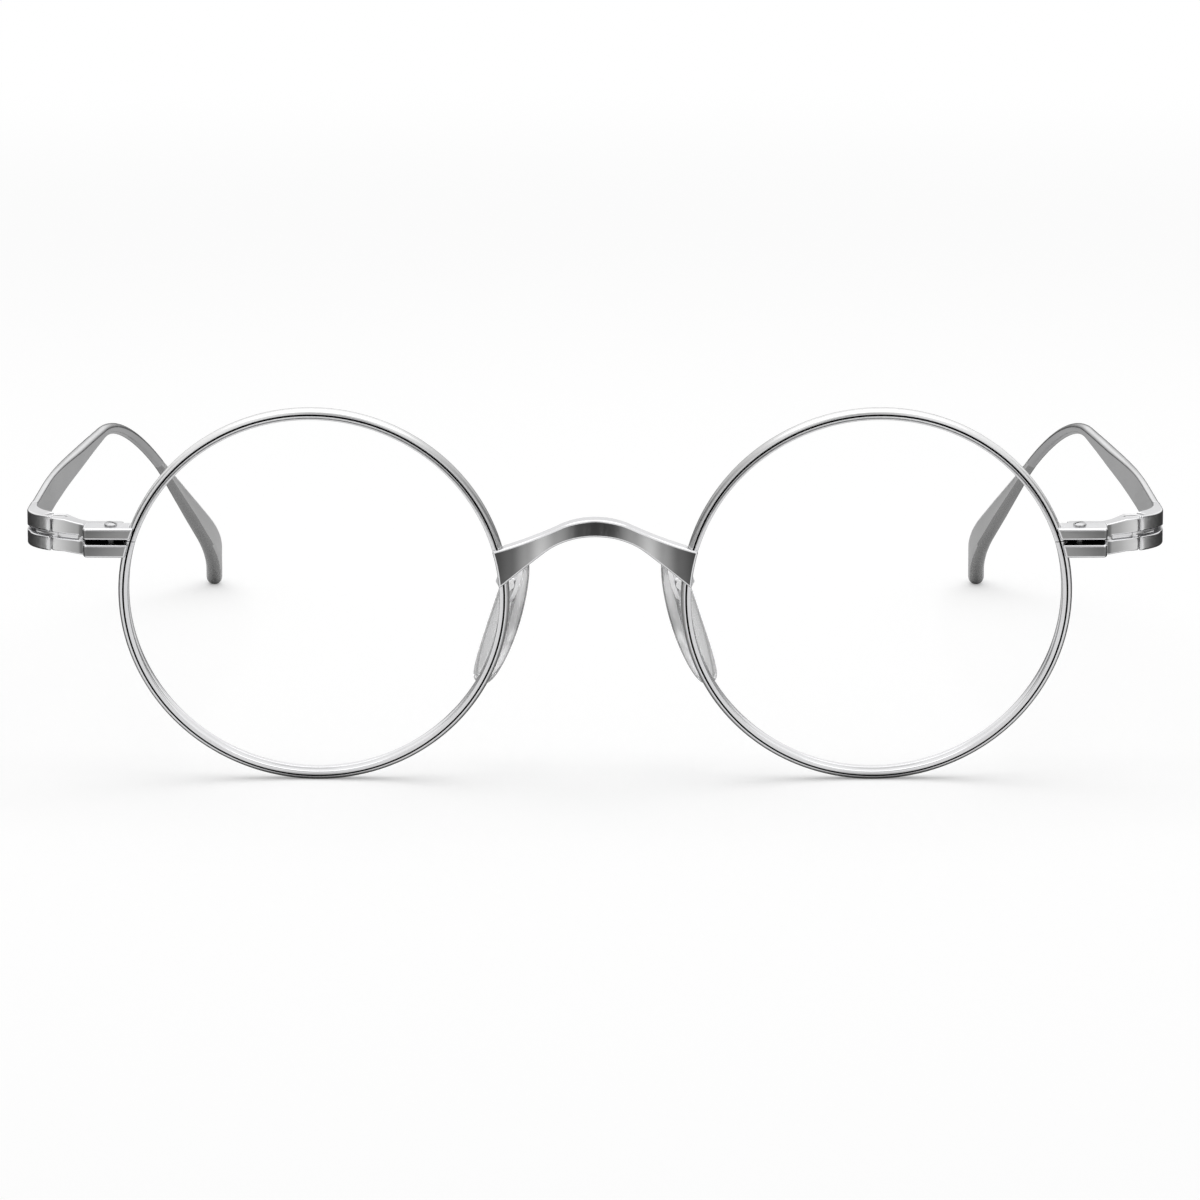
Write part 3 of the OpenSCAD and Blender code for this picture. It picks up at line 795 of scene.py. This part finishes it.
def add_bridge():
    mats = (SATIN, POLISHED, BRIDGE_PAINTED_REFLECTION)
    saddle = crisp(softened("bridge", BRIDGE_EDGE, mats, shortest=BRIDGE_SHORTEST))
    for f in saddle.data.polygons:
        # forward faces get painted reflection: dark at the middle and ends, light on the slopes
        if f.normal.y < -BRIDGE_FRONT and f.material_index == 0:
            f.material_index = 2


# floor

FLOOR_HALF = 6.0
FLOOR_TONE = 0.8
FLOOR_GLOW = 0.255
# the floor as metal sees it, in bands: where each starts and ends, and its number there
NEAR = (0.130, 0.148, 0.95, 0.16)
OUTER = (0.075, 0.105, 0.0, 1.0)
FLANK = (0.066, 0.085, 0.42, 0.06)
UNDER = (0.050, 0.060, 0.0, 1.0)
FRONT = (0.0660, 0.0690, 0.0, 1.0)
LANE = (0.012, 0.040, 0.25, 0.95)
AWAY = (0.165, 0.19, 0.0, 1.0)
OUTER_TONE, UNDER_TONE = 0.95, 0.07
# the floor as the camera sees it turns plain white over this distance
FAR = (0.25, 0.9, 0.0, 1.0)


def reflected_floor(nt, aside, ahead):
    """White close in front and out to the sides, and grey further ahead.

    Then come white banks with a dark lane between them. The floor is dark under the front, grey
    behind it, and dark at the flanks.
    """
    near = blend(nt, in_range(nt, aside, *OUTER), in_range(nt, ahead, *NEAR), OUTER_TONE)
    flank = blend(nt, in_range(nt, ahead, *UNDER), in_range(nt, aside, *FLANK), UNDER_TONE)
    close = blend(nt, in_range(nt, ahead, *FRONT), flank, near)
    return blend(nt, in_range(nt, ahead, *AWAY), close, in_range(nt, aside, *LANE))


def floor():
    s = FLOOR_HALF
    mesh = bpy.data.meshes.new("floor")
    mesh.from_pydata([(-s, -s, 0), (s, -s, 0), (s, s, 0), (-s, s, 0)], [], [(0, 1, 2, 3)])
    obj = in_scene("floor", mesh)
    mat = bpy.data.materials.new("floor_white")
    mat.use_nodes = True
    nt = mat.node_tree
    nt.nodes.clear()
    path = nt.nodes.new("ShaderNodeLightPath")
    place, axes = split_place(nt, "Object")
    aside = node_math(nt, "ABSOLUTE", axes["X"], 0)
    ahead = node_math(nt, "MULTIPLY", axes["Y"], -1.0)
    reach = nt.nodes.new("ShaderNodeVectorMath")
    reach.operation = "LENGTH"
    nt.links.new(place, reach.inputs[0])
    far = in_range(nt, reach.outputs["Value"], *FAR)
    diffuse = nt.nodes.new("ShaderNodeBsdfDiffuse")
    plain = blend(nt, far, FLOOR_TONE, 0.0)
    mirrored = reflected_floor(nt, aside, ahead)
    nt.links.new(blend(nt, path.outputs["Is Glossy Ray"], plain, mirrored), diffuse.inputs["Color"])
    glow = nt.nodes.new("ShaderNodeEmission")
    glow.inputs["Color"].default_value = (1, 1, 1, 1)
    white = node_math(nt, "MULTIPLY", seen_directly(nt, path), blend(nt, far, FLOOR_GLOW, 1.0))
    nt.links.new(white, glow.inputs["Strength"])
    add = nt.nodes.new("ShaderNodeAddShader")
    nt.links.new(diffuse.outputs[0], add.inputs[0])
    nt.links.new(glow.outputs[0], add.inputs[1])
    out = nt.nodes.new("ShaderNodeOutputMaterial")
    nt.links.new(add.outputs[0], out.inputs["Surface"])
    mesh.materials.append(mat)


# light

# the studio by direction, in bands: where each starts and ends, and its number there
BANK = (0.03, 0.25, 0.35, 1.0)
FORWARD = (-0.5, -0.1, 0.0, 1.0)
REAR = (0.0, 0.22, 0.2, 1.05)
FLAG = (0.82, 0.96, 1.0, 0.15)
OVERHEAD = (0.4, 0.8, 0.0, 1.0)
# matt surfaces have this even light from the world, and the rest from the lamp, for the shadows
SOFT_SHARE = 0.6
LAMP_PLACE, LAMP_AIM = (0, 0.05, 0.85), (0, -0.03, 0)
LAMP_SIZE, LAMP_POWER = (1.1, 1.1), 3.4


def background(nt, strength):
    shade = nt.nodes.new("ShaderNodeBackground")
    shade.inputs["Color"].default_value = (1, 1, 1, 1)
    if isinstance(strength, float):
        shade.inputs["Strength"].default_value = strength
    else:
        nt.links.new(strength, shade.inputs["Strength"])
    return shade.outputs[0]


def world():
    """White overhead and behind, dim at the horizon there, and dark flags at the sides.

    Ahead lies a dim lane between two white banks. The camera sees plain white.
    """
    w = bpy.data.worlds.new("studio")
    bpy.context.scene.world = w
    w.use_nodes = True
    nt = w.node_tree
    nt.nodes.clear()
    _, axes = split_place(nt, "Generated")
    aside = node_math(nt, "ABSOLUTE", axes["X"], 0)
    level = blend(
        nt, in_range(nt, axes["Y"], *FORWARD),
        in_range(nt, aside, *BANK), in_range(nt, axes["Z"], *REAR),
    )
    flagged = node_math(nt, "MULTIPLY", level, in_range(nt, aside, *FLAG))
    studio = node_math(nt, "MAXIMUM", flagged, in_range(nt, axes["Z"], *OVERHEAD))
    path = nt.nodes.new("ShaderNodeLightPath")
    strength = blend(nt, path.outputs["Is Diffuse Ray"], studio, SOFT_SHARE)
    mix = nt.nodes.new("ShaderNodeMixShader")
    nt.links.new(seen_directly(nt, path), mix.inputs["Fac"])
    nt.links.new(background(nt, strength), mix.inputs[1])
    nt.links.new(background(nt, 1.0), mix.inputs[2])
    out = nt.nodes.new("ShaderNodeOutputWorld")
    nt.links.new(mix.outputs[0], out.inputs["Surface"])


def lamp():
    data = bpy.data.lights.new("top", "AREA")
    data.shape = "RECTANGLE"
    data.size, data.size_y = LAMP_SIZE
    data.energy = LAMP_POWER
    obj = in_scene("top", data)
    obj.location = LAMP_PLACE
    aim = Vector(LAMP_AIM) - Vector(LAMP_PLACE)
    obj.rotation_euler = aim.to_track_quat("-Z", "Y").to_euler()


# camera

VIEW_DISTANCE, VIEW_ANGLE, VIEW_HEIGHT = 700, 10.2, 23.04
LENS, SENSOR, SHIFT_X = 173.25, 36.0, 0.0040


def camera():
    data = bpy.data.cameras.new("camera")
    data.lens = LENS
    data.sensor_width = SENSOR
    data.clip_start = 0.01
    data.clip_end = 50.0
    data.shift_x = SHIFT_X
    obj = in_scene("camera", data)
    e = math.radians(VIEW_ANGLE)
    obj.location = to_row((
        0, -VIEW_DISTANCE * math.cos(e), VIEW_HEIGHT + VIEW_DISTANCE * math.sin(e)
    ))
    obj.rotation_euler = (math.radians(90 - VIEW_ANGLE), 0, 0)
    bpy.context.scene.camera = obj


for side, sign in SIDES:
    add_end(side, sign)
    dress_pad_mount(side)
    add_rim(side, sign)
    add_temple(side, sign)
    add_pad(side, sign)
add_bridge()
floor()
world()
lamp()
camera()
bpy.context.scene.view_settings.view_transform = "Standard"
